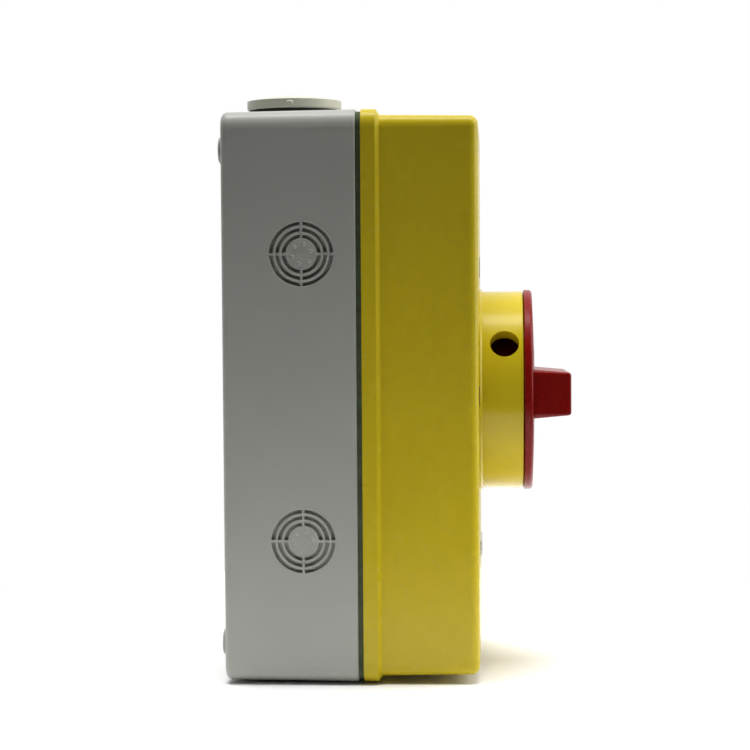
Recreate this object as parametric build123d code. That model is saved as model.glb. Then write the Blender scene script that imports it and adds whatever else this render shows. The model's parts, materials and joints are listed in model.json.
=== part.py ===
"""Enclosed rotary isolator switch: a wall box with a padlockable rotary handle and a four pole switch.

Frame, in millimetres: +Z up, the front faces -Y, and the origin is the centre of the four wall
screws on the wall plane. Depths are counted forward from the wall, so a depth d lies at y = -d.
Angles on the handle are counted from +X towards +Z, as seen from the front.
"""

from build123d import *
import math
import os

# ---- Enclosure ----
WIDTH, HEIGHT = 94.0, 184.3          # outline at the parting line
CORNER_R = 6.0                       # upright corners, seen from the front
WALL = 2.5
BACK_WALL = 3.0
FOOT_H, FOOT_R = 1.0, 4.3            # round feet that touch the wall
FOOT_X, FOOT_Z = 39.5, 79.5
BASE_BACK = FOOT_H                   # depth of the base's back face
BASE_RIM = 44.2                      # depth of the base's rim
COVER_RIM = 45.9                     # depth of the cover's rim, on the gasket
COVER_STEP = 50.55                   # depth where the flange's slope starts
COVER_STEP_END = 51.8
COVER_INSET = 1.9                    # how far the cover's sides stand inside the flange
COVER_FRONT = 83.2
BASE_DRAFT, COVER_DRAFT = 0.7, 0.82  # degrees
BACK_FILLET, FRONT_FILLET = 2.2, 2.8
RIM_CHAMFER = 0.35                   # broken edge of the base beside the gasket

TONGUE_IN, TONGUE_W, TONGUE_TOP = 2.6, 1.4, 47.5
RABBET_END = 47.9
GASKET_RECESS = 0.75

# ---- Wall screws and feet ----
WALL_X, WALL_Z = 27.0, 77.5
WALL_HOLE_R = 2.75
WALL_PAD_R, WALL_PAD_TOP = 5.5, 6.0  # pads round the wall screws, inside and outside

# ---- Cover screws ----
SCREW_X, SCREW_Z = WIDTH / 2 - 9.5, HEIGHT / 2 - 9.5
BOSS_R = 5.2
COVER_TUBE_R = 6.2
CORNER_FILL = 4.2                    # the gap behind each tube is filled up to this inset
WELL_R, WELL_FLOOR = 4.3, 54.0
INSERT_R, INSERT_LEN, INSERT_BORE_R = 3.2, 9.8, 2.02
SCREW_R, SCREW_TIP = 1.95, 36.0
HEAD_R, HEAD_H = 3.7, 3.4
SEAL_H = 1.2

# ---- Knock-outs in the side walls: the radii of each ring groove, inside and outside ----
KNOCKOUT_D, KNOCKOUT_Z = 26.8, 46.0
KNOCKOUT_GROOVES = [(5.0, 6.2), (7.1, 8.25), (9.1, 10.25)]
KNOCKOUT_DEPTH, KNOCKOUT_BRIDGE = 1.6, 0.85
KNOCKOUT_CHAMFER = 0.22

# ---- Conduit entries, top and bottom ----
ENTRY_D = 20.65
ENTRY_R, ENTRY_BOSS_R = 12.5, 15.6
ENTRY_IN_Z = 84.0                    # inner end of the threaded collar
ENTRY_FACE_Z = 92.1                  # flat seat around the hole
PLUG_R, PLUG_BOTTOM, PLUG_EDGE, PLUG_CROWN = 16.0, 95.1, 98.1, 100.0
PLUG_NECK_R, PLUG_NECK_BORE = 12.42, 9.8

# ---- Padlock collar ----
COLLAR_R, COLLAR_BASE_R = 33.3, 34.1
COLLAR_IN_R = 28.4
COLLAR_FLOOR = 85.4
COLLAR_END = 97.7
LOCK_ANGLES = (30, 150, 270)
LOCK_HOLE_R, LOCK_HOLE_D = 4.75, 91.5
FACE_HOLE_R, FACE_HOLE_AT = 4.0, 24.4
COLLAR_POST_ANGLES, COLLAR_POST_AT = (90, 210, 330), 23.2
COLLAR_POST_R, COLLAR_POST_TOP = 3.4, 92.0

# ---- Knob ----
KNOB_R, KNOB_BACK, KNOB_FACE = 33.8, 97.95, 101.7
KNOB_DOME = 0.9                      # the disc's face falls by this much towards its edge
HANDLE_LEN, HANDLE_TIP = 61.0, 113.2
HANDLE_W, HANDLE_TAIL_W = 16.2, 13.2 # width at the pointer's end and at the tail, at the disc
HANDLE_DRAFT, HANDLE_WALL = 5.2, 2.6
HANDLE_POCKET_W = 8.4
DRUM_R, DRUM_IN_R, DRUM_BACK = 18.0, 15.4, 86.4
HUB_R, HUB_BACK = 8.0, 77.5
HUB_BORE_R = 8.08
CLIP_D, CLIP_T, CLIP_R = 79.2, 1.0, 10.5
O_RING_D, O_RING_R = 81.95, 0.84
SOCKET, SHAFT = 7.3, 7.0             # square socket and square shaft, across flats
SHAFT_TIP = 88.0
JOURNAL_R, JOURNAL_BACK = 3.0, 11.8  # round back end of the shaft
BEARING_R = 6.3                      # round necks that carry the shaft in the decks and the lid
FIT = 0.06                           # radial clearance of a running fit
SQUARE_FIT = 0.02                    # clearance of a square hole on the shaft, each side

# ---- Cover interlock ----
PLATE_D, PLATE_T = 72.2, 1.5
PLATE_HALF_X, PLATE_HALF_Z, PLATE_HOLE_R = 23.0, 14.0, 9.0
WING_D, WING_T, WING_REACH, WING_W = 74.4, 2.0, 14.0, 6.0
WING_HUB_R, WING_HUB_BACK, WING_PIN_D, WING_PIN_R = 7.2, 71.4, 73.0, 1.0
POST_X = 19.0

# ---- Switch unit ----
RAIL_BACK, RAIL_LEN = 6.0, 76.0
RAIL_SCREW_X = 30.0
FOOT_BACK, FOOT_FRONT = 13.6, 18.6
DECK_BACK, DECK_PITCH = 18.7, 9.5
DECKS = 4
UNIT = 48.0                          # side of the square switch body
BORE_R = 19.4
ROTOR_R, BLADE_REACH, BLADE_W, BLADE_T = 12.0, 18.5, 8.0, 2.0
JAW_T = 4.5
TERMINAL_X = 12.5
TERMINAL_Z = (37.5, 37.5, 28.5, 28.5)
TERMINAL_END = (42.0, 42.0, 33.0, 33.0)
ON_ANGLES = (60, 120, 60, 120)       # the blade's angle when the switch is on
TRAVEL = 90                          # degrees between off and on
BOLT_AT, BOLT_R = 20.5, 1.7
MECH_BACK = DECK_BACK + DECKS * DECK_PITCH
MECH_FRONT, LID_FRONT = MECH_BACK + 11.0, MECH_BACK + 13.0
CAM_R, CAM_NOTCH = 10.0, 1.3
CAM_BACK, STOP_FRONT = 1.5, 3.3      # counted from MECH_BACK
STOP_R, STOP_HALF, STOP_OFF = 14.4, 2.0, 135

EARTH_X, EARTH_Z, EARTH_LEN, EARTH_W, EARTH_BACK = -33.0, -56.0, 24.0, 7.0, 8.0

CORNERS = [(sx, sz) for sx in (-1, 1) for sz in (-1, 1)]
EPS = 0.05                           # overshoot that makes a cut clean


# ---- Helpers: every solid is placed by its depth range ----
def block(x, d, z):
    """A box from its ranges in x, depth and z."""
    size = (x[1] - x[0], d[1] - d[0], z[1] - z[0])
    return Pos((x[0] + x[1]) / 2, -(d[0] + d[1]) / 2, (z[0] + z[1]) / 2) * Box(*size)


def rod(radius, d, x=0.0, z=0.0):
    """A cylinder along the depth."""
    middle = Pos(x, -(d[0] + d[1]) / 2, z) * Rot(90, 0, 0)
    return middle * Cylinder(radius, d[1] - d[0])


def ring(outer, inner, d, x=0.0, z=0.0):
    return rod(outer, d, x, z) - rod(inner, (d[0] - EPS, d[1] + EPS), x, z)


def rod_z(radius, z, x=0.0, d=0.0):
    return Pos(x, -d, (z[0] + z[1]) / 2) * Cylinder(radius, z[1] - z[0])


def rod_x(radius, x, d=0.0, z=0.0):
    return Pos((x[0] + x[1]) / 2, -d, z) * Rot(0, 90, 0) * Cylinder(radius, x[1] - x[0])


def turned(shape, degrees):
    """Turns a shape about the handle's axis, counted from +X towards +Z."""
    return Rot(0, -degrees, 0) * shape


def at_angle(radius, degrees):
    a = math.radians(degrees)
    return radius * math.cos(a), radius * math.sin(a)


def front_plane(d):
    return Plane.XZ.offset(d)


def tapered(w, h, r, d, draft):
    """A rounded rectangle that starts at depth d[0] and narrows evenly on all sides up to d[1]."""
    shape = extrude(Plane.XY * RectangleRounded(w, h, r), abs(d[1] - d[0]), taper=draft)
    facing = 90 if d[1] > d[0] else -90
    return Pos(0, -d[0], 0) * Rot(facing, 0, 0) * shape


def drafted(inset, d, rim_d, draft, corner=CORNER_R):
    """The enclosure's outline inset from the rim's and leaning in by the draft away from rim_d."""
    inset += (abs(d[0] - rim_d)) * math.tan(math.radians(draft))
    return tapered(WIDTH - 2 * inset, HEIGHT - 2 * inset, corner - inset, d, draft)


def prism(inset, d):
    """The same outline with straight sides."""
    r = max(CORNER_R - inset, 0.6)
    sketch = front_plane(d[0]) * RectangleRounded(WIDTH - 2 * inset, HEIGHT - 2 * inset, r)
    return extrude(sketch, d[1] - d[0])


def back_edges(shape):
    return shape.faces().sort_by(Axis.Y)[-1].edges()


def front_edges(shape):
    return shape.faces().sort_by(Axis.Y)[0].edges()


def shaft_hole(d):
    """The square hole of a piece that turns with the shaft."""
    half = SHAFT / 2 + SQUARE_FIT
    return block((-half, half), (d[0] - 1, d[1] + 1), (-half, half))


def pan_screw(head_r, head_h, shank_r, seat, tip, x=0.0, z=0.0):
    """A cross-recessed screw whose head sits in front of depth seat and points back to tip."""
    head = rod(head_r, (seat, seat + head_h), x, z)
    head = fillet(front_edges(head), head_h * 0.3)
    screw = head + rod(shank_r, (tip, seat + EPS), x, z)
    recess = (seat + head_h * 0.45, seat + head_h + 1)
    arm, half = head_r * 0.55, head_r * 0.13
    screw -= block((x - arm, x + arm), recess, (z - half, z + half))
    screw -= block((x - half, x + half), recess, (z - arm, z + arm))
    return screw


def together(shapes):
    """Separate solids kept side by side in one node."""
    return Compound(children=[solid for shape in shapes for solid in shape.solids()])


# ---- Enclosure base ----
def on_side_wall(shape, side, z):
    """Moves a shape built round +X onto a knock-out's centre, square to the leaning side wall."""
    lean = (BASE_RIM - KNOCKOUT_D) * math.tan(math.radians(BASE_DRAFT))
    turn = BASE_DRAFT if side > 0 else 180 - BASE_DRAFT
    return Pos(side * (WIDTH / 2 - lean), -KNOCKOUT_D, z) * Rot(0, 0, turn) * shape


def ring_groove(inner, outer):
    """One groove round +X with broken rims, crossed by four thin bridges."""
    c, over = KNOCKOUT_CHAMFER, 0.6
    outline = Polygon((-KNOCKOUT_DEPTH, inner), (-c, inner), (over, inner - c - over),
                      (over, outer + c + over), (-c, outer), (-KNOCKOUT_DEPTH, outer), align=None)
    groove = revolve(Plane.XY * outline, Axis.X)
    long, wide = 2 * outer + 4, KNOCKOUT_BRIDGE
    return groove - Box(4 * KNOCKOUT_DEPTH, wide, long) - Box(4 * KNOCKOUT_DEPTH, long, wide)


def disc_lumps():
    """Low round lumps near the edge of a knock-out's centre disc, with sloping edges."""
    radius, height, at, count = 0.8, 0.25, 3.2, 6
    lump = rod_x(radius, (-1.0, height))
    lump = chamfer(lump.faces().sort_by(Axis.X)[-1].edges(), 0.24)
    return [Pos(0, *at_angle(at, 360 / count * k + 15)) * lump for k in range(count)]


def enclosure_base():
    shell = drafted(0, (BASE_RIM, BASE_BACK), BASE_RIM, BASE_DRAFT)
    shell = fillet(back_edges(shell), BACK_FILLET)
    shell = chamfer(front_edges(shell), RIM_CHAMFER)
    floor = BASE_BACK + BACK_WALL
    shell -= drafted(WALL, (BASE_RIM, floor), BASE_RIM, BASE_DRAFT)
    ledge = (36.0, BASE_RIM)                       # the wall thickens under the tongue
    inner_edge = TONGUE_IN + TONGUE_W
    shell += prism(1.0, ledge) - prism(inner_edge, (ledge[0] - EPS, ledge[1] + EPS))
    tongue = (ledge[1] - EPS, TONGUE_TOP)
    shell += prism(TONGUE_IN, tongue) - prism(inner_edge, (tongue[0] - EPS, tongue[1] + EPS))
    for sx, sz in CORNERS:
        x, z = sx * SCREW_X, sz * SCREW_Z
        web_x = sorted((x, sx * (WIDTH / 2 - 1.5)))
        web_z = sorted((z, sz * (HEIGHT / 2 - 1.5)))
        shell += rod(BOSS_R, (floor - 1, BASE_RIM), x, z)
        shell += block(web_x, (floor - 1, ledge[0]), (z - 0.9, z + 0.9))
        shell += block((x - 0.9, x + 0.9), (floor - 1, ledge[0]), web_z)
        shell += rod(WALL_PAD_R, (0, WALL_PAD_TOP), sx * WALL_X, sz * WALL_Z)
        foot = rod(FOOT_R, (0, BASE_BACK + 1), sx * FOOT_X, sz * FOOT_Z)
        shell += chamfer(back_edges(foot), 0.4)
    for x in (-RAIL_SCREW_X, RAIL_SCREW_X):
        shell += rod(4.5, (floor - 1, RAIL_BACK), x, 0)
    for z in (EARTH_Z - 8, EARTH_Z + 8):
        shell += rod(3.0, (floor - 1, EARTH_BACK), EARTH_X, z)
    for top in (1, -1):
        collar = sorted((top * ENTRY_IN_Z, top * (HEIGHT / 2 - 1)))
        seat = sorted((top * (HEIGHT / 2 - 1), top * ENTRY_FACE_Z))
        shell += rod_z(ENTRY_BOSS_R, collar, 0, ENTRY_D)
        shell += rod_z(ENTRY_BOSS_R, seat, 0, ENTRY_D)
        hole = sorted((top * (ENTRY_IN_Z - 1), top * (ENTRY_FACE_Z + 1)))
        shell -= rod_z(ENTRY_R, hole, 0, ENTRY_D)
    for side, z in [(side, z) for side in (-1, 1) for z in (-KNOCKOUT_Z, KNOCKOUT_Z)]:
        for inner, outer in KNOCKOUT_GROOVES:
            shell -= on_side_wall(ring_groove(inner, outer), side, z)
        for lump in disc_lumps():
            shell += on_side_wall(lump, side, z)
    for sx, sz in CORNERS:
        x, z = sx * SCREW_X, sz * SCREW_Z
        shell -= rod(INSERT_R + 0.02, (BASE_RIM - INSERT_LEN, BASE_RIM + 1), x, z)
        shell -= rod(2.3, (SCREW_TIP - 4, BASE_RIM - INSERT_LEN + EPS), x, z)
        shell -= rod(WALL_HOLE_R, (-1, WALL_PAD_TOP + 1), sx * WALL_X, sz * WALL_Z)
    for x in (-RAIL_SCREW_X, RAIL_SCREW_X):
        shell -= rod(1.75, (2.4, RAIL_BACK + 1), x, 0)
    return shell


def cover_gasket():
    d = (BASE_RIM, COVER_RIM)
    return prism(GASKET_RECESS, d) - prism(TONGUE_IN - 0.1, (d[0] - EPS, d[1] + EPS))


def threaded_inserts():
    d = (BASE_RIM - INSERT_LEN, BASE_RIM)
    return together(ring(INSERT_R, INSERT_BORE_R, d, sx * SCREW_X, sz * SCREW_Z) for sx, sz in CORNERS)


def blanking_plug():
    """Screw plug of the top entry: a domed head on a hollow neck, with grip nubs and a coin slot."""
    crown, edge, low = PLUG_CROWN, PLUG_EDGE, PLUG_BOTTOM
    middle_x = PLUG_R / 2
    dome_r = (PLUG_R ** 2 + (crown - edge) ** 2) / (2 * (crown - edge))
    middle_z = crown - dome_r + math.sqrt(dome_r ** 2 - middle_x ** 2)
    rim = Polyline((0, crown - 2.6), (PLUG_NECK_BORE, crown - 2.6), (PLUG_NECK_BORE, ENTRY_IN_Z - 1),
                   (PLUG_NECK_R, ENTRY_IN_Z - 1), (PLUG_NECK_R, low), (PLUG_R - 0.5, low),
                   (PLUG_R, low + 0.5), (PLUG_R, edge))
    dome = ThreePointArc((PLUG_R, edge), (middle_x, middle_z), (0, crown))
    axis = Line((0, crown), (0, crown - 2.6))
    plug = Pos(0, -ENTRY_D, 0) * revolve(Plane.XZ * make_face([rim, dome, axis]), Axis.Z)
    for angle in (60, 180, 300):
        nub = Pos(PLUG_R, 0, (low + edge) / 2) * Box(0.9, 2.2, 1.5)
        plug += Pos(0, -ENTRY_D, 0) * Rot(0, 0, angle) * chamfer(nub.edges(), 0.25)
    slot_half, slot_len = 0.9, 11.0
    slot_d = (ENTRY_D - slot_len, ENTRY_D + slot_len)
    return plug - block((-slot_half, slot_half), slot_d, (crown - 1.7, crown + 1))


def plug_washer():
    z = (ENTRY_FACE_Z, PLUG_BOTTOM)
    washer = rod_z(15.2, z, 0, ENTRY_D)
    return washer - rod_z(PLUG_NECK_R + 0.1, (z[0] - 1, z[1] + 1), 0, ENTRY_D)


# ---- Cover ----
def front_cover():
    flange = prism(0, (COVER_RIM, COVER_STEP))
    slope_angle = math.degrees(math.atan(COVER_INSET / (COVER_STEP_END - COVER_STEP)))
    slope = tapered(WIDTH, HEIGHT, CORNER_R, (COVER_STEP, COVER_STEP_END), slope_angle)
    box = drafted(COVER_INSET, (COVER_STEP_END, COVER_FRONT), COVER_STEP_END, COVER_DRAFT)
    box = fillet(front_edges(box), FRONT_FILLET)
    cover = flange + slope + box
    inside = COVER_FRONT - WALL
    cover -= drafted(COVER_INSET + WALL, (RABBET_END, inside), RABBET_END, COVER_DRAFT)
    cover -= prism(TONGUE_IN - 0.2, (COVER_RIM - 1, RABBET_END))
    for sx, sz in CORNERS:
        x, z = sx * SCREW_X, sz * SCREW_Z
        tube = (COVER_RIM + 0.1, inside + 0.8)
        corner_x = sorted((x, sx * (WIDTH / 2 - CORNER_FILL)))
        corner_z = sorted((z, sz * (HEIGHT / 2 - CORNER_FILL)))
        cover += rod(COVER_TUBE_R, tube, x, z) + block(corner_x, (COVER_STEP, tube[1]), corner_z)
    groove = (COVER_RIM - 1, RABBET_END)           # the tubes stand clear of the base's tongue
    cover -= prism(TONGUE_IN - 0.2, groove) - prism(TONGUE_IN + TONGUE_W + 0.2, groove)
    for x in (-POST_X, POST_X):
        cover += rod(3.0, (PLATE_D + PLATE_T, inside + 1), x, 0)
    for sx, sz in CORNERS:
        x, z = sx * SCREW_X, sz * SCREW_Z
        cover -= rod(WELL_R, (WELL_FLOOR, COVER_FRONT + 1), x, z)
        cover -= rod(2.25, (COVER_RIM - 1, WELL_FLOOR + EPS), x, z)
    for x in (-POST_X, POST_X):
        cover -= rod(1.25, (PLATE_D, inside - 0.5), x, 0)
    cover -= rod(HUB_BORE_R, (inside - 1, COVER_FRONT + 1))
    for angle in COLLAR_POST_ANGLES:
        x, z = at_angle(COLLAR_POST_AT, angle)
        cover -= rod(1.7, (inside - 1, COVER_FRONT + 1), x, z)
    return cover


def cover_screws():
    seat = WELL_FLOOR + SEAL_H
    return together(pan_screw(HEAD_R, HEAD_H, SCREW_R, seat, SCREW_TIP, sx * SCREW_X, sz * SCREW_Z)
                    for sx, sz in CORNERS)


def screw_seals():
    d = (WELL_FLOOR, WELL_FLOOR + SEAL_H)
    return together(ring(3.5, SCREW_R + 0.05, d, sx * SCREW_X, sz * SCREW_Z) for sx, sz in CORNERS)


def name_badge():
    """Blank domed badge under the handle."""
    width, height, rise, z = 30.0, 5.5, 0.75, -52.9
    sketch = front_plane(COVER_FRONT) * Pos(0, z) * RectangleRounded(width, height, height / 2 - 0.1)
    return fillet(front_edges(extrude(sketch, rise)), 0.6)


def position_marks():
    """A bar for on, above the collar, and a ring for off, at its left."""
    d = (COVER_FRONT, COVER_FRONT + 0.15)
    bar = block((-0.8, 0.8), d, (38.0, 45.0))
    return together([bar, ring(3.4, 2.0, d, -38.6, 0)])


# ---- Padlock collar and knob ----
def padlock_collar():
    collar = rod(COLLAR_R, (COVER_FRONT, COLLAR_END))
    collar = fillet(front_edges(collar), 0.4)
    skirt = rod(COLLAR_BASE_R, (COVER_FRONT, COVER_FRONT + 1.0))
    collar += chamfer(front_edges(skirt), 0.6)
    collar -= rod(COLLAR_IN_R, (COLLAR_FLOOR, COLLAR_END + 1))
    for angle in COLLAR_POST_ANGLES:
        x, z = at_angle(COLLAR_POST_AT, angle)
        collar += rod(COLLAR_POST_R, (COLLAR_FLOOR - 1, COLLAR_POST_TOP), x, z)
        collar -= rod(1.3, (COVER_FRONT - 1, COLLAR_POST_TOP - 1.5), x, z)
    for angle in LOCK_ANGLES:
        hole = rod_x(LOCK_HOLE_R, (COLLAR_IN_R - 4, COLLAR_BASE_R + 2), LOCK_HOLE_D, 0)
        collar -= turned(hole, angle)
    return collar - rod(HUB_BORE_R, (COVER_FRONT - 1, COLLAR_FLOOR + 1))


def collar_screws():
    """Self-tapping screws from inside the cover, heads pointing to the back."""
    seat = COVER_FRONT - WALL
    screws = []
    for angle in COLLAR_POST_ANGLES:
        x, z = at_angle(COLLAR_POST_AT, angle)
        head = rod(2.9, (seat - 2.0, seat), x, z)
        head = fillet(back_edges(head), 0.6)
        screw = head + rod(1.28, (seat - EPS, COLLAR_POST_TOP - 2), x, z)
        recess = (seat - 3, seat - 0.9)
        screw -= block((x - 1.6, x + 1.6), recess, (z - 0.35, z + 0.35))
        screw -= block((x - 0.35, x + 0.35), recess, (z - 1.6, z + 1.6))
        screws.append(screw)
    return together(screws)


def handle_bar():
    """The grip across the disc: wider at the pointer's end, and narrower towards its tip."""
    half, wide, narrow = HANDLE_LEN / 2, HANDLE_W / 2, HANDLE_TAIL_W / 2
    outline = Polygon((-half, -wide), (half, -narrow), (half, narrow), (-half, wide), align=None)
    outline = fillet(outline.vertices(), 1.8)
    start = KNOB_FACE - KNOB_DOME
    bar = extrude(Plane.XY * outline, HANDLE_TIP - start, taper=HANDLE_DRAFT)
    bar = Pos(0, -start, 0) * Rot(90, 0, 0) * bar
    return fillet(front_edges(bar), 1.0)


def knob_disc():
    """Disc with a rounded edge and a slightly domed face."""
    edge, back, face = KNOB_FACE - KNOB_DOME, KNOB_BACK, KNOB_FACE
    chord = KNOB_R - 1.2
    dome_r = (chord ** 2 + KNOB_DOME ** 2) / (2 * KNOB_DOME)
    middle = (chord / 2, face - dome_r + math.sqrt(dome_r ** 2 - (chord / 2) ** 2))
    sides = Polyline((0, face), (0, back), (KNOB_R - 0.3, back), (KNOB_R, back + 0.3), (KNOB_R, edge - 1.2))
    corner = RadiusArc((KNOB_R, edge - 1.2), (chord, edge), -1.2)
    dome = ThreePointArc((chord, edge), middle, (0, face))
    return Rot(90, 0, 0) * revolve(Plane.XZ * make_face([sides, corner, dome]), Axis.Z)


def pointer_outline():
    return [(-27.5, 0.0), (-21.5, -3.2), (-21.5, 3.2)]


def knob_pointer(grow=0.0):
    """White arrow let into the handle's tip, which points to on or off."""
    sketch = front_plane(HANDLE_TIP - 0.6) * Polygon(*pointer_outline(), align=None)
    return extrude(sketch, 0.6 + grow)


def rotary_knob():
    knob = knob_disc() + rod(HUB_R, (HUB_BACK, KNOB_BACK + 1))
    knob += ring(DRUM_R, DRUM_IN_R, (DRUM_BACK, KNOB_BACK + 1))
    for angle in (45, 135, 225, 315):
        rib = block((HUB_R - 1, DRUM_IN_R + 1), (DRUM_BACK + 2, KNOB_BACK + 1), (-0.9, 0.9))
        knob += turned(rib, angle)
    knob += handle_bar()
    pocket_half = HANDLE_POCKET_W / 2
    for side in (-1, 1):
        pocket_x = sorted((side * (HUB_R + 2.2), side * (HANDLE_LEN / 2 - HANDLE_WALL - 0.8)))
        pocket_d = (DRUM_BACK - 1, HANDLE_TIP - HANDLE_WALL)
        knob -= block(pocket_x, pocket_d, (-pocket_half, pocket_half))
    for angle in LOCK_ANGLES:
        x, z = at_angle(FACE_HOLE_AT, angle)
        knob -= rod(FACE_HOLE_R, (KNOB_BACK - 1, KNOB_FACE + 1), x, z)
    half = SOCKET / 2
    knob -= block((-half, half), (HUB_BACK - 1, SHAFT_TIP + 1), (-half, half))
    clip_groove = (CLIP_D - 0.1, CLIP_D + CLIP_T + 0.1)
    seal_groove = (O_RING_D - O_RING_R - 0.1, O_RING_D + O_RING_R + 0.1)
    knob -= ring(HUB_R + 1, HUB_R - 1.1, clip_groove)
    knob -= ring(HUB_R + 1, HUB_BORE_R - 2 * O_RING_R - 0.02, seal_groove)
    return knob - knob_pointer(grow=1.0)


def hub_o_ring():
    return Pos(0, -O_RING_D, 0) * Rot(90, 0, 0) * Torus(HUB_BORE_R - O_RING_R, O_RING_R - 0.01)


def retaining_clip():
    """Open ring in the hub's groove that holds the knob in the cover."""
    d = (CLIP_D, CLIP_D + CLIP_T)
    clip = ring(CLIP_R, HUB_R - 0.95, d)
    return clip - block((-2.2, 2.2), (d[0] - 1, d[1] + 1), (-CLIP_R - 1, 0))


def hub_washer():
    inside = COVER_FRONT - WALL
    return ring(11.5, HUB_R + 0.3, (CLIP_D + CLIP_T + 0.05, inside - 0.02))


# ---- Interlock between the switch and the cover ----
def interlock_plate():
    """Carried by the cover. Its slot lets the wings through only when the switch is off."""
    d = (PLATE_D, PLATE_D + PLATE_T)
    plate = block((-PLATE_HALF_X, PLATE_HALF_X), d, (-PLATE_HALF_Z, PLATE_HALF_Z))
    plate = fillet(plate.edges().filter_by(Axis.Y), 3.0)
    cut = (d[0] - 1, d[1] + 1)
    reach, half = WING_REACH + 0.8, WING_W / 2 + 0.6
    plate -= rod(PLATE_HOLE_R, cut)
    plate -= block((-reach, reach), cut, (-half, half))
    for x in (-POST_X, POST_X):
        plate -= rod(1.6, cut, x, 0)
    return plate


def interlock_screws():
    screws = []
    for x in (-POST_X, POST_X):
        head = rod(2.6, (PLATE_D - 1.8, PLATE_D), x, 0)
        screw = head + rod(1.2, (PLATE_D - EPS, COVER_FRONT - WALL - 1), x, 0)
        screws.append(screw - block((x - 2.8, x + 2.8), (PLATE_D - 3, PLATE_D - 1.1), (-0.3, 0.3)))
    return together(screws)


def interlock_wings():
    """Two arms on a hub, pinned to the shaft in front of the interlock plate."""
    d = (WING_D, WING_D + WING_T)
    wings = rod(WING_HUB_R, (WING_HUB_BACK, d[1]))
    wings += block((-WING_REACH, WING_REACH), d, (-WING_W / 2, WING_W / 2))
    wings -= shaft_hole((WING_HUB_BACK, d[1]))
    return wings - rod_x(WING_PIN_R + 0.01, (-WING_HUB_R - 1, WING_HUB_R + 1), WING_PIN_D)


def wing_pin():
    return rod_x(WING_PIN_R, (-WING_HUB_R + 0.4, WING_HUB_R - 0.4), WING_PIN_D)


# ---- Switch unit ----
def din_rail():
    """Top-hat rail, 35 mm wide and 7.5 mm deep, in 1 mm steel."""
    half = RAIL_LEN / 2
    web, lip, depth, half_w, t = 13.5, 17.5, 7.5, 13.5, 1.0
    front = RAIL_BACK + depth
    rail = block((-half, half), (RAIL_BACK, RAIL_BACK + t), (-web, web))
    for side in (-1, 1):
        wall = sorted((side * (half_w - t), side * half_w))
        flange = sorted((side * (half_w - t), side * lip))
        rail += block((-half, half), (RAIL_BACK, front), wall)
        rail += block((-half, half), (front - t, front), flange)
    for x in (-RAIL_SCREW_X, RAIL_SCREW_X):
        slot = front_plane(RAIL_BACK - 1) * Pos(x, 0) * SlotOverall(9.0, 4.6)
        rail -= extrude(slot, 3)
    return rail


def rail_screws():
    return together(pan_screw(3.9, 2.6, 1.72, RAIL_BACK + 1, 2.8, x, 0)
                    for x in (-RAIL_SCREW_X, RAIL_SCREW_X))


def rail_foot():
    """Adapter that hangs the switch on the rail: a fixed hook above and a latch channel below."""
    half = UNIT / 2
    foot = block((-half, half), (FOOT_BACK, FOOT_FRONT), (-half, half))
    foot = fillet(foot.edges().filter_by(Axis.Y), 2.0)
    foot += block((-11, 11), (10.4, FOOT_BACK + EPS), (17.7, 21.5))
    foot += block((-11, 11), (10.4, 12.3), (14.6, 17.8))
    foot += block((-11, 11), (9.2, FOOT_BACK + EPS), (-half, -17.8))
    foot -= block((-7.2, 7.2), (10.3, 12.7), (-half - 1, -17))
    foot -= rod(JOURNAL_R + FIT, (FOOT_BACK - 1, FOOT_FRONT + 1))
    for sx, sz in CORNERS:
        foot -= rod(1.45, (FOOT_BACK + 1.0, FOOT_FRONT + 1), sx * BOLT_AT, sz * BOLT_AT)
    return foot


def rail_latch():
    """Sliding latch that hooks behind the rail's lower edge, with a screwdriver eye."""
    latch = block((-7, 7), (10.6, 12.4), (-31, -15.4))
    latch = chamfer(latch.edges().filter_by(Axis.X).sort_by(Axis.Z)[-2:].sort_by(Axis.Y)[-1:], 0.8)
    return latch - block((-3.5, 3.5), (10, 13), (-28.8, -26.0))


def deck_depth(k):
    return DECK_BACK + k * DECK_PITCH


def blade_depth(k):
    """The middle of deck k's blade and contacts."""
    return deck_depth(k) + DECK_PITCH / 2 + 0.25


def terminal_side(k):
    """1 where deck k's upper terminal is right of the axis, -1 where it is left."""
    return 1 if ON_ANGLES[k] < 90 else -1


def contact_sketch(k, grow=0.0):
    """Outline of the fixed contacts of deck k: a jaw at the blade's on angle and a terminal tail."""
    end = TERMINAL_END[k] - 1.0
    width, inner, outer = BLADE_W + 2 * grow, ROTOR_R + 0.8, 24.0
    jaw = Rectangle(outer - inner + 2 * grow, width)
    jaw = Rot(0, 0, ON_ANGLES[k]) * Pos((inner + outer) / 2, 0) * jaw
    tail = Rectangle(9.0 + 2 * grow, end - 18.0 + 2 * grow)
    return jaw + Pos(terminal_side(k) * TERMINAL_X, (18.0 + end) / 2) * tail


def both_ends(sketch):
    """The same outline at the top, and turned half a turn at the bottom."""
    return [sketch, Rot(0, 0, 180) * sketch]


def fixed_contacts(k):
    """Upper and lower contact of deck k, each with a slit for the blade and a lowered terminal."""
    middle, slit = blade_depth(k), BLADE_T / 2 + 0.06
    low, high = middle - JAW_T / 2, middle + JAW_T / 2
    contacts = []
    for sketch, end in zip(both_ends(contact_sketch(k)), (1, -1)):
        contact = extrude(front_plane(low) * sketch, JAW_T)
        contact -= rod(BORE_R + 0.2, (middle - slit, middle + slit))
        contact -= block((-30, 30), (low + 2.5, high + 1), sorted((end * 23.5, end * 50)))
        x = end * terminal_side(k) * TERMINAL_X
        contacts.append(contact - rod(2.1, (low - 1, high + 1), x, end * TERMINAL_Z[k]))
    return together(contacts)


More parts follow.
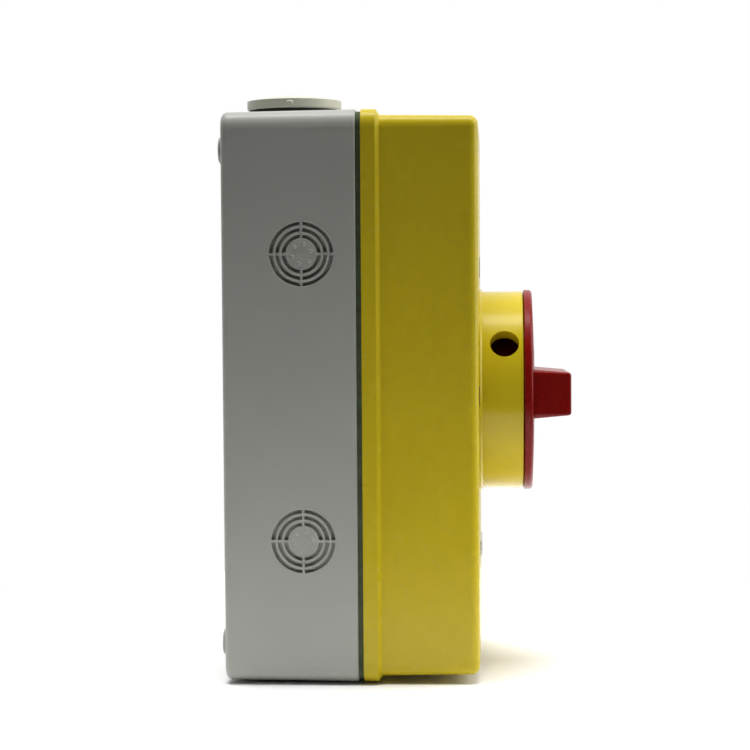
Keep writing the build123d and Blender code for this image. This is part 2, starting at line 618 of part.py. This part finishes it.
def pole_deck(k):
    """One insulating deck: a round arc chamber with a floor, and a terminal block at each end."""
    d0, d1 = deck_depth(k), deck_depth(k + 1) - 0.02
    half, side = UNIT / 2, terminal_side(k)
    deck = fillet(block((-half, half), (d0, d1), (-half, half)).edges().filter_by(Axis.Y), 2.0)
    for end in (1, -1):
        x = end * side * TERMINAL_X
        z = sorted((end * (half - 2), end * TERMINAL_END[k]))
        deck += block((x - 7.5, x + 7.5), (d0, d1), z)
    deck -= rod(BORE_R, (d0 + 1.2, d1 + 1))
    deck -= rod(BEARING_R + FIT, (d0 - 1, d0 + 2))
    low = blade_depth(k) - JAW_T / 2
    for sketch in both_ends(contact_sketch(k, grow=0.08)):
        deck -= extrude(front_plane(low - 0.02) * sketch, d1 - low + 1)
    for end in (1, -1):
        x, z = end * side * TERMINAL_X, end * TERMINAL_Z[k]
        mouth = sorted((end * (TERMINAL_END[k] - 9.5), end * (TERMINAL_END[k] + 1)))
        deck -= block((x - 5.2, x + 5.2), (low + 2.5, d1 + 1), mouth)
        deck -= rod(2.1, (d0 + 0.8, low + 1), x, z)
    for sx, sz in CORNERS:
        deck -= rod(BOLT_R + 0.15, (d0 - 1, d1 + 1), sx * BOLT_AT, sz * BOLT_AT)
    return deck


def off_angle(k):
    return ON_ANGLES[k] + TRAVEL


def blade_outline(k, grow=0.0):
    """The moving blade: a bar through the axis that widens to an eye round the hub."""
    bar = Rectangle(2 * BLADE_REACH, BLADE_W + 2 * grow)
    eye = Circle(8.4 + grow)
    return Rot(0, 0, off_angle(k)) * (bar + eye)


def contact_blade(k):
    middle = blade_depth(k)
    blade = extrude(front_plane(middle - BLADE_T / 2) * blade_outline(k), BLADE_T)
    reach = blade.edges().filter_by(Axis.Y).group_by(lambda e: math.hypot(e.center().X, e.center().Z))
    blade = fillet(reach[-1], 1.5)
    return blade - rod(5.9, (middle - 3, middle + 3))


def contact_rotor(k):
    """Insulating rotor moulded round its blade, whose neck turns in the deck's floor."""
    d0, slot_back = deck_depth(k), blade_depth(k) - BLADE_T / 2 - 0.02
    d = (d0 + 1.35, d0 + DECK_PITCH - 0.15)
    rotor = rod(ROTOR_R, d) + rod(BEARING_R, (d0 + 0.1, d[0] + 1))
    slot = extrude(front_plane(slot_back) * blade_outline(k, grow=0.03), BLADE_T + 0.04)
    return rotor - (slot - rod(5.85, d)) - shaft_hole((d0, d[1]))


def terminal_places():
    """x, z and the depth of the copper's front face for all eight terminals."""
    places = []
    for k in range(DECKS):
        x, z, face = terminal_side(k) * TERMINAL_X, TERMINAL_Z[k], blade_depth(k) - JAW_T / 2 + 2.5
        places += [(end * x, end * z, face) for end in (1, -1)]
    return places


def terminal_screws():
    return together(pan_screw(3.6, 2.2, 1.95, face + 1.2, face - 3.6, x, z)
                    for x, z, face in terminal_places())


def clamp_plates():
    plates = []
    for x, z, face in terminal_places():
        plate = block((x - 4.4, x + 4.4), (face, face + 1.2), (z - 4.2, z + 4.2))
        plates.append(plate - rod(2.05, (face - 1, face + 2), x, z))
    return together(plates)


def stop_finger(grow=0.0):
    """The cam's finger at the off position, in the layer behind the springs."""
    d = (MECH_BACK + CAM_BACK - grow, MECH_BACK + STOP_FRONT + grow)
    half = STOP_HALF + grow
    return turned(block((CAM_R - 2, STOP_R + 4 * grow), d, (-half, half)), STOP_OFF)


def mechanism_housing():
    """Detent box on the decks: a cam chamber, a spring pocket each side and the stops for the finger."""
    half = UNIT / 2
    d = (MECH_BACK, MECH_FRONT)
    box = fillet(block((-half, half), d, (-half, half)).edges().filter_by(Axis.Y), 2.0)
    chamber = (d[0] + 1.2, d[1] + 1)
    box -= rod(CAM_R + 1.2, chamber)
    far = 2 * STOP_R
    wedge = Polygon((0, 0), at_angle(far, STOP_OFF - TRAVEL), at_angle(far, STOP_OFF), align=None)
    sweep = extrude(front_plane(chamber[0]) * (wedge & Circle(STOP_R + 0.4)), chamber[1] - chamber[0])
    box -= sweep
    for angle in (0, -TRAVEL):
        box -= turned(stop_finger(grow=0.08), angle)
    for side in (-1, 1):
        pocket_x = sorted((side * 7.0, side * 17.5))
        box -= block(pocket_x, (d[0] + STOP_FRONT + 0.2, d[1] + 1), (-17.0, 17.0))
    box -= rod(BEARING_R + FIT, (d[0] - 1, d[0] + 2))
    for sx, sz in CORNERS:
        box -= rod(BOLT_R + 0.15, (d[0] - 1, d[1] + 1), sx * BOLT_AT, sz * BOLT_AT)
    return box


def mechanism_lid():
    half = UNIT / 2
    d = (MECH_FRONT, LID_FRONT)
    lid = fillet(block((-half, half), d, (-half, half)).edges().filter_by(Axis.Y), 2.0)
    lid = chamfer(front_edges(lid), 0.5)
    lid -= rod(BEARING_R + FIT, (d[0] - 1, d[1] + 1))
    for sx, sz in CORNERS:
        lid -= rod(BOLT_R + 0.15, (d[0] - 1, d[1] + 1), sx * BOLT_AT, sz * BOLT_AT)
    return lid


def detent_cam():
    """Round cam with four notches a quarter turn apart, a stop finger and a neck at each end."""
    d = (MECH_BACK + CAM_BACK, MECH_FRONT - 0.4)
    cam = rod(CAM_R, d)
    notch = Rot(0, 45, 0) * Box(2.6, 30, 2.6)
    for angle in (0, 90, 180, 270):
        cam -= turned(Pos(CAM_R + 0.5, -(d[0] + d[1]) / 2, 0) * notch, angle)
    necks = (MECH_BACK + 0.1, LID_FRONT + 0.4)
    cam += rod(BEARING_R, necks) + stop_finger()
    return cam - shaft_hole(necks)


def detent_springs():
    """Two leaf springs whose noses rest in the cam's notches and bend as it turns."""
    nose = CAM_R - CAM_NOTCH + 0.6
    line = Polyline((15.5, 16.2), (12.6, 6.5), (11.4, 2.6), (nose, 0.0), (11.4, -2.6), (12.6, -6.5),
                    (15.5, -16.2))
    leaf = extrude(front_plane(MECH_BACK + STOP_FRONT + 0.7) * trace(line, 0.5), 6.0)
    return together([leaf, turned(leaf, 180)])


def drive_shaft():
    """Square shaft from the foot's bearing to the knob's socket."""
    half = SHAFT / 2
    shaft = block((-half, half), (FOOT_FRONT + 0.2, SHAFT_TIP), (-half, half))
    shaft = chamfer(front_edges(shaft), 0.8)
    shaft += rod(JOURNAL_R, (JOURNAL_BACK, FOOT_FRONT + 0.3))
    shaft -= ring(JOURNAL_R + 1, JOURNAL_R - 0.6, (JOURNAL_BACK + 0.8, JOURNAL_BACK + 1.5))
    return shaft - rod_x(WING_PIN_R + 0.01, (-SHAFT, SHAFT), WING_PIN_D)


def shaft_clip():
    """Open ring in the journal's groove, behind the foot."""
    d = (JOURNAL_BACK + 0.85, JOURNAL_BACK + 1.45)
    return ring(5.0, JOURNAL_R - 0.55, d) - block((-1.6, 1.6), (d[0] - 1, d[1] + 1), (-6, 0))


def stack_bolts():
    tip = FOOT_BACK + 1.6
    return together(pan_screw(3.0, 2.2, 1.42, LID_FRONT, tip, sx * BOLT_AT, sz * BOLT_AT)
                    for sx, sz in CORNERS)


def earth_bar():
    half = EARTH_W / 2
    z = (EARTH_Z - EARTH_LEN / 2, EARTH_Z + EARTH_LEN / 2)
    bar = block((EARTH_X - half, EARTH_X + half), (EARTH_BACK, EARTH_BACK + EARTH_W), z)
    bar = chamfer(bar.edges().filter_by(Axis.Z), 0.5)
    for z in (EARTH_Z - 7, EARTH_Z, EARTH_Z + 7):
        bar -= rod_x(2.0, (EARTH_X - half - 1, EARTH_X + half + 1), EARTH_BACK + half - 0.4, z)
        bar -= rod(1.75, (EARTH_BACK + half, EARTH_BACK + EARTH_W + 1), EARTH_X, z)
    return bar


def earth_screws():
    front = EARTH_BACK + EARTH_W
    return together(pan_screw(2.9, 2.0, 1.7, front + 0.02, EARTH_BACK + EARTH_W / 2 + 1.0, EARTH_X, z)
                    for z in (EARTH_Z - 7, EARTH_Z, EARTH_Z + 7))


SINGLE = [
    enclosure_base, cover_gasket, threaded_inserts, blanking_plug, plug_washer,
    front_cover, cover_screws, screw_seals, name_badge, position_marks,
    padlock_collar, collar_screws, rotary_knob, knob_pointer, hub_o_ring, retaining_clip, hub_washer,
    interlock_plate, interlock_screws, interlock_wings, wing_pin,
    din_rail, rail_screws, rail_foot, rail_latch, terminal_screws, clamp_plates,
    mechanism_housing, mechanism_lid, detent_cam, detent_springs, drive_shaft, shaft_clip, stack_bolts,
    earth_bar, earth_screws,
]
PER_DECK = [pole_deck, fixed_contacts, contact_blade, contact_rotor]


def main():
    os.makedirs("parts", exist_ok=True)
    for make in SINGLE:
        export_step(make(), f"parts/{make.__name__}.step")
    for make in PER_DECK:
        for k in range(DECKS):
            export_step(make(k), f"parts/{make.__name__}_{k + 1}.step")


main()
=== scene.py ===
"""The enclosed rotary isolator as a studio picture: node finishes, floor, light and camera."""

import json
import math

import bmesh
import bpy
from mathutils import Matrix, Vector


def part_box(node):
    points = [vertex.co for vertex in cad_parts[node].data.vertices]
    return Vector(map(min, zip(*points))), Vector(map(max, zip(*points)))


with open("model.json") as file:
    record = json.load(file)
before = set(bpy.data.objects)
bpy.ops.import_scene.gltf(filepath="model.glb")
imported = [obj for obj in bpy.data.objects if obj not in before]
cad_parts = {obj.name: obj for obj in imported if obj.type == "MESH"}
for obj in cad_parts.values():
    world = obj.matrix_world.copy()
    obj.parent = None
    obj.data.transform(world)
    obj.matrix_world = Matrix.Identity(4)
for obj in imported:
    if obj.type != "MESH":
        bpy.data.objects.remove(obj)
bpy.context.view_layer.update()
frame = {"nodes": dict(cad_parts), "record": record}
NODES = frame["nodes"]


# ---- Camera: the lens and the place that give the picture's view of the left side ----
CAMERA_AT = Vector((-0.7014, -0.08777, 0.03856))
YAW, PITCH, ROLL = math.radians(-3.289), math.radians(2.727), math.radians(-0.395)
LENS, SENSOR = 98.86, 36.0


def add_camera():
    """Looks along +X, turned towards the wall by the yaw, down by the pitch, and rolled."""
    side = Vector((-math.sin(YAW), -math.cos(YAW), 0))
    ahead = Vector((math.cos(PITCH) * math.cos(YAW), -math.cos(PITCH) * math.sin(YAW), -math.sin(PITCH)))
    over = side.cross(ahead)
    right = math.cos(ROLL) * side + math.sin(ROLL) * over
    up = -math.sin(ROLL) * side + math.cos(ROLL) * over
    turn = Matrix((right, up, -ahead)).transposed().to_4x4()
    data = bpy.data.cameras.new("camera")
    data.lens, data.sensor_width = LENS, SENSOR
    data.clip_start, data.clip_end = 0.01, 20
    camera = bpy.data.objects.new("camera", data)
    camera.matrix_world = Matrix.Translation(CAMERA_AT) @ turn
    bpy.context.scene.collection.objects.link(camera)
    bpy.context.scene.camera = camera


# ---- Materials ----
NOISE_LOW, NOISE_HIGH = 0.3, 0.7     # most of a noise texture's values lie between these


def shader(name, color, roughness, metallic=0.0, **sockets):
    """A material whose uniform values sit on the shader's own sockets, with its tree and shader."""
    material = bpy.data.materials.new(name)
    material.use_nodes = True
    tree = material.node_tree
    bsdf = tree.nodes["Principled BSDF"]
    bsdf.inputs["Base Color"].default_value = (*color, 1)
    bsdf.inputs["Roughness"].default_value = roughness
    bsdf.inputs["Metallic"].default_value = metallic
    for socket, value in sockets.items():
        bsdf.inputs[socket.replace("_", " ")].default_value = value
    return material, tree, bsdf


def noise(tree, scale, detail=3.0, stretch=(1, 1, 1)):
    """Noise in the object's own coordinates, so that it rides with the piece."""
    place = tree.nodes.new("ShaderNodeTexCoord")
    mapping = tree.nodes.new("ShaderNodeMapping")
    mapping.inputs["Scale"].default_value = stretch
    texture = tree.nodes.new("ShaderNodeTexNoise")
    texture.inputs["Scale"].default_value = scale
    texture.inputs["Detail"].default_value = detail
    tree.links.new(place.outputs["Object"], mapping.inputs["Vector"])
    tree.links.new(mapping.outputs["Vector"], texture.inputs["Vector"])
    return texture.outputs["Fac"]


def ramp(tree, value, stops):
    """Colours or greys by value: stops are (position, colour)."""
    node = tree.nodes.new("ShaderNodeValToRGB")
    elements = node.color_ramp.elements
    while len(elements) < len(stops):
        elements.new(0.5)
    for element, (position, color) in zip(elements, stops):
        element.position = position
        element.color = (*color, 1)
    tree.links.new(value, node.inputs["Fac"])
    return node.outputs["Color"]


def scaled(color, factor):
    return tuple(min(c * factor, 1.0) for c in color)


def mottle(tree, bsdf, color, amount, scale):
    """Slow, faint variation of the colour."""
    low, high = scaled(color, 1 - amount), scaled(color, 1 + amount)
    colors = ramp(tree, noise(tree, scale), [(NOISE_LOW, low), (NOISE_HIGH, high)])
    tree.links.new(colors, bsdf.inputs["Base Color"])


def vary_roughness(tree, bsdf, low, high, scale, stretch=(1, 1, 1)):
    stops = [(NOISE_LOW, (low,) * 3), (NOISE_HIGH, (high,) * 3)]
    values = ramp(tree, noise(tree, scale, stretch=stretch), stops)
    tree.links.new(values, bsdf.inputs["Roughness"])


def bump(tree, bsdf, height, strength, distance):
    """Adds fine relief from a texture value."""
    node = tree.nodes.new("ShaderNodeBump")
    node.inputs["Strength"].default_value = strength
    node.inputs["Distance"].default_value = distance
    tree.links.new(height, node.inputs["Height"])
    tree.links.new(node.outputs["Normal"], bsdf.inputs["Normal"])


def moulded(name, color, low, high, grain=2600, depth=0.00002, coat=0.0, flow=0.02, shine=0.3):
    """Moulded plastic: faint flow clouds, a fine spark-eroded grain and uneven gloss."""
    material, tree, bsdf = shader(name, color, (low + high) / 2, Coat_Weight=coat, Coat_Roughness=0.12,
                                  Specular_IOR_Level=shine)
    mottle(tree, bsdf, color, flow, 30)
    vary_roughness(tree, bsdf, low, high, 160)
    bump(tree, bsdf, noise(tree, grain, detail=2), 0.3, depth)
    return material


def rubber(name, color):
    material, tree, bsdf = shader(name, color, 0.75)
    mottle(tree, bsdf, color, 0.25, 400)
    bump(tree, bsdf, noise(tree, 3000, detail=2), 0.5, 0.00004)
    return material


def metal(name, color, low, high, stretch=(1, 1, 1), scale=500):
    """Metal with drawing or brushing marks along the direction that the stretch leaves long."""
    material, tree, bsdf = shader(name, color, (low + high) / 2, metallic=1.0)
    mottle(tree, bsdf, color, 0.06, 120)
    vary_roughness(tree, bsdf, low, high, scale, stretch)
    bump(tree, bsdf, noise(tree, scale * 2, detail=3, stretch=stretch), 0.3, 0.00001)
    return material


GREY, YELLOW, RED = (0.39, 0.395, 0.36), (0.565, 0.44, 0.0135), (0.20, 0.004, 0.003)

FINISHES = {
    "grey_housing": lambda n: moulded(n, GREY, 0.28, 0.36, shine=0.45),
    "yellow_cover": lambda n: moulded(n, YELLOW, 0.22, 0.30, grain=3200, depth=0.00001, shine=0.3),
    "yellow_plastic": lambda n: moulded(n, (0.60, 0.475, 0.0125), 0.17, 0.24, depth=0.00001, shine=0.3),
    "red_plastic": lambda n: moulded(n, RED, 0.24, 0.32, depth=0.00001, shine=0.2),
    "plug_plastic": lambda n: moulded(n, (0.58, 0.58, 0.49), 0.34, 0.44),
    "badge_plastic": lambda n: moulded(n, (0.62, 0.62, 0.6), 0.18, 0.26, coat=0.5),
    "white_plastic": lambda n: moulded(n, (0.8, 0.8, 0.78), 0.35, 0.45),
    "print_ink": lambda n: moulded(n, (0.02, 0.02, 0.02), 0.4, 0.5),
    "black_plastic": lambda n: moulded(n, (0.03, 0.03, 0.033), 0.42, 0.55, flow=0.1),
    "deck_plastic": lambda n: moulded(n, (0.055, 0.055, 0.06), 0.42, 0.55, flow=0.12),
    "cam_plastic": lambda n: moulded(n, (0.6, 0.57, 0.48), 0.35, 0.45),
    "latch_plastic": lambda n: moulded(n, (0.55, 0.08, 0.02), 0.35, 0.45),
    "gasket_rubber": lambda n: rubber(n, (0.055, 0.075, 0.035)),
    "seal_rubber": lambda n: rubber(n, (0.012, 0.012, 0.013)),
    "brass": lambda n: metal(n, (0.72, 0.5, 0.2), 0.2, 0.34, (1, 1, 12)),
    "stainless_steel": lambda n: metal(n, (0.6, 0.6, 0.6), 0.18, 0.32, (1, 12, 1)),
    "zinc_steel": lambda n: metal(n, (0.58, 0.61, 0.65), 0.22, 0.38, (1, 12, 1)),
    "rail_steel": lambda n: metal(n, (0.56, 0.58, 0.58), 0.28, 0.42, (0.08, 1, 1)),
    "plate_steel": lambda n: metal(n, (0.58, 0.6, 0.6), 0.26, 0.4, (0.08, 1, 1)),
    "spring_steel": lambda n: metal(n, (0.33, 0.33, 0.36), 0.25, 0.4, (1, 1, 0.1)),
    "shaft_steel": lambda n: metal(n, (0.5, 0.51, 0.53), 0.24, 0.4, (1, 0.06, 1)),
    "copper": lambda n: metal(n, (0.72, 0.42, 0.28), 0.22, 0.36, (1, 1, 0.15)),
}


# ---- Floor and light: the world is dark on the -X side, which the camera looks at ----
WORLD_STOPS = [(0.0, (0.06,) * 3), (0.38, (0.08,) * 3), (0.6, (0.7,) * 3), (1.0, (0.9,) * 3)]
FLOOR_GAP, FLOOR_R, FLOOR_COLOR = 0.0005, 0.225, (0.93, 0.93, 0.93)
SUN_POWER, SUN_SPREAD = 3.9, math.radians(40)
STRIP_AT, STRIP_AIM, STRIP_SIZE, STRIP_POWER = (0, -0.1, 1.1), (0, -0.1, 0), (0.3, 1.2), 6
FRONT_AT, FRONT_AIM, FRONT_SIZE, FRONT_POWER = (0.02, -0.95, 0.4), (0, -0.05, 0), (0.5, 1.0), 5.5


def paint_nodes():
    """Gives every CAD node the finish of its material slot in the record."""
    finishes = {name: make(name + "_finish") for name, make in FINISHES.items()}
    for part in frame["record"]["subparts"]:
        materials = NODES[part["node"]].data.materials
        materials.clear()
        materials.append(finishes[part["material_slot"]])


def add_floor():
    """A round pale table top just under the enclosure."""
    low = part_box("enclosure_base")[0].z - FLOOR_GAP
    bm = bmesh.new()
    bmesh.ops.create_circle(bm, cap_ends=True, segments=128, radius=FLOOR_R,
                            matrix=Matrix.Translation((0, -0.05, low)))
    mesh = bpy.data.meshes.new("floor")
    bm.to_mesh(mesh)
    bm.free()
    floor = bpy.data.objects.new("floor", mesh)
    bpy.context.scene.collection.objects.link(floor)
    material, tree, bsdf = shader("floor_paper", FLOOR_COLOR, 0.8)
    mottle(tree, bsdf, FLOOR_COLOR, 0.004, 3)
    mesh.materials.append(material)


def add_light(name, at, aim, size, power, highlights_only=False):
    data = bpy.data.lights.new(name, "AREA")
    data.shape = "RECTANGLE"
    data.size, data.size_y = size
    data.energy = power
    light = bpy.data.objects.new(name, data)
    light.location = at
    light.rotation_euler = (Vector(aim) - Vector(at)).to_track_quat("-Z", "Y").to_euler()
    light.visible_diffuse = not highlights_only
    bpy.context.scene.collection.objects.link(light)


def add_studio():
    """White surroundings. As with a flag, little of their light comes from the knock-outs' side."""
    world = bpy.data.worlds.new("studio")
    world.use_nodes = True
    tree = world.node_tree
    background = tree.nodes["Background"]
    direction = tree.nodes.new("ShaderNodeTexCoord")
    split = tree.nodes.new("ShaderNodeSeparateXYZ")
    tree.links.new(direction.outputs["Generated"], split.inputs["Vector"])
    shift = tree.nodes.new("ShaderNodeMath")
    shift.operation = "MULTIPLY_ADD"
    shift.inputs[1].default_value, shift.inputs[2].default_value = 0.5, 0.5
    tree.links.new(split.outputs["X"], shift.inputs[0])
    seen = tree.nodes.new("ShaderNodeLightPath")
    choose = tree.nodes.new("ShaderNodeMix")
    choose.data_type = "RGBA"
    choose.inputs["B"].default_value = (1, 1, 1, 1)
    tree.links.new(seen.outputs["Is Camera Ray"], choose.inputs["Factor"])
    tree.links.new(ramp(tree, shift.outputs[0], WORLD_STOPS), choose.inputs["A"])
    tree.links.new(choose.outputs["Result"], background.inputs["Color"])
    bpy.context.scene.world = world
    sun = bpy.data.lights.new("overhead", "SUN")
    sun.energy, sun.angle = SUN_POWER, SUN_SPREAD
    overhead = bpy.data.objects.new("overhead", sun)
    overhead.visible_glossy = False
    bpy.context.scene.collection.objects.link(overhead)
    add_light("overhead_strip", STRIP_AT, STRIP_AIM, STRIP_SIZE, STRIP_POWER, highlights_only=True)
    add_light("front_softbox", FRONT_AT, FRONT_AIM, FRONT_SIZE, FRONT_POWER)


bpy.context.scene.view_settings.view_transform = "Standard"
add_camera()
paint_nodes()
add_floor()
add_studio()
